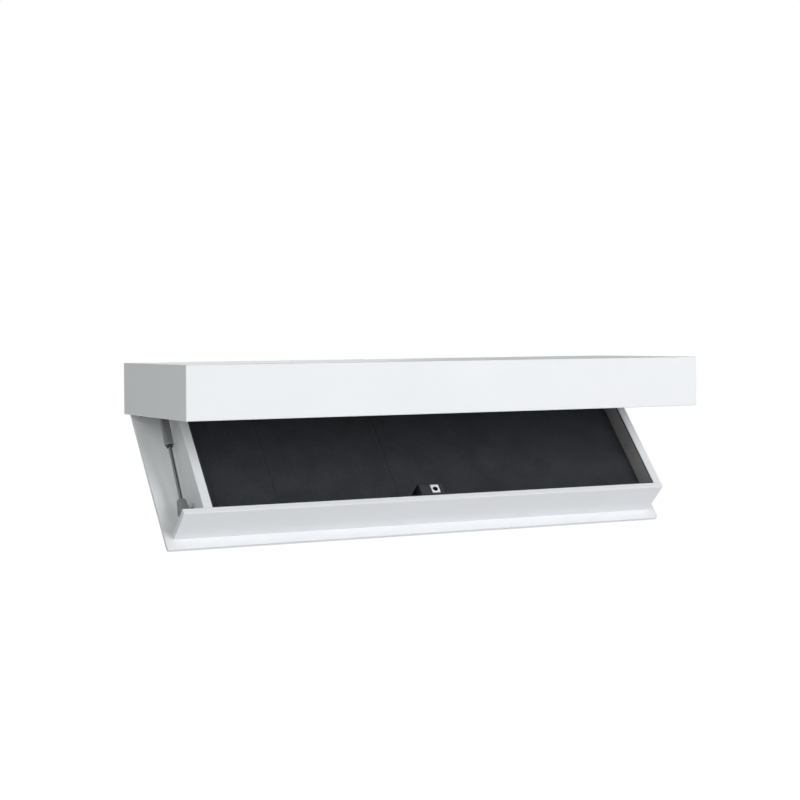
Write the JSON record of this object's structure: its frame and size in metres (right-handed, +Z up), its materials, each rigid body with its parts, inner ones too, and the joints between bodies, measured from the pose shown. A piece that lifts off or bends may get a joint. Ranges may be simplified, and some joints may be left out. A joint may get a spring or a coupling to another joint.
{
  "type": "concealment shelf",
  "caption": "Floating wall shelf whose underside drops open on a gas strut as a foam-lined hidden compartment with a lock.",
  "frame": {"origin": "point on the back panel's rear face, in the middle of its width, on the line of its wall screws", "axes": "+X to the right along the wall, +Y into the wall, +Z up"},
  "size_m": [0.93, 0.312, 0.293],
  "materials": {
    "white_lacquer": "white satin lacquer on fibreboard",
    "raw_board": "primed fibreboard",
    "steel": "zinc-plated steel",
    "dark_steel": "dark nitrided steel",
    "grey_enamel": "grey baked enamel on steel",
    "grey_nylon": "moulded grey glass-filled nylon",
    "black_plastic": "moulded black plastic",
    "black_foam": "closed-cell foam, fine pores",
    "grey_foam": "thin grey foam sheet",
    "rubber": "soft rubber"
  },
  "bodies": {
    "box": {"top_panel": "white_lacquer", "front_panel": "white_lacquer", "left_side_panel": "white_lacquer", "right_side_panel": "white_lacquer", "back_panel": "raw_board", "box_hinge_leaf": "steel", "hinge_pin": "steel", "stop_front_left": "rubber", "stop_front_right": "rubber", "stop_rear_left": "rubber", "stop_rear_right": "rubber", "upper_strut_bracket": "steel", "striker": "steel"},
    "tray": {"tray_base": "white_lacquer", "tray_front_wall": "white_lacquer", "tray_rear_wall": "white_lacquer", "tray_left_wall": "white_lacquer", "tray_right_wall": "white_lacquer", "tray_hinge_leaf": "steel", "lining_left": "grey_foam", "lining_right": "grey_foam", "lining_front": "grey_foam", "lining_rear": "grey_foam", "foam_left": "black_foam", "foam_middle": "black_foam", "foam_right": "black_foam", "lock_case": "black_plastic", "lock_cover": "black_plastic", "lock_faceplate": "steel", "lower_strut_bracket": "steel", "lower_ball_stud": "steel"},
    "latch": {"lock_latch": "dark_steel"},
    "strut_rod": {"strut_rod_fitting": "grey_nylon", "strut_rod": "dark_steel", "strut_piston": "black_plastic"},
    "strut_tube": {"strut_tube": "grey_enamel", "strut_gland": "black_plastic", "strut_tube_fitting": "grey_nylon", "upper_ball_stud": "steel"}
  },
  "joints": [
    {"name": "tray_hinge", "type": "hinge", "parent": "box", "child": "tray", "pos_m": [0, -0.012, -0.0347], "axis": [-1, 0, 0], "range_deg": [0, 48]},
    {"name": "latch_slide", "type": "slide", "parent": "tray", "child": "latch", "axis": [1, 0, 0], "range_m": [0, 0.0035]},
    {"name": "strut_foot", "type": "hinge", "parent": "tray", "child": "strut_rod", "pos_m": [-0.427, -0.18638, -0.1919], "axis": [1, 0, 0], "range_deg": [-1, 1.5]},
    {"name": "strut_stroke", "type": "slide", "parent": "strut_rod", "child": "strut_tube", "axis": [0, -0.5587, -0.8294], "range_m": [0, 0.0505]}
  ],
  "couplings": [
    {"joint": "strut_foot", "follows": "tray_hinge", "ratio": -0.008022},
    {"joint": "strut_stroke", "follows": "tray_hinge", "m_per_rad": 0.059652}
  ]
}
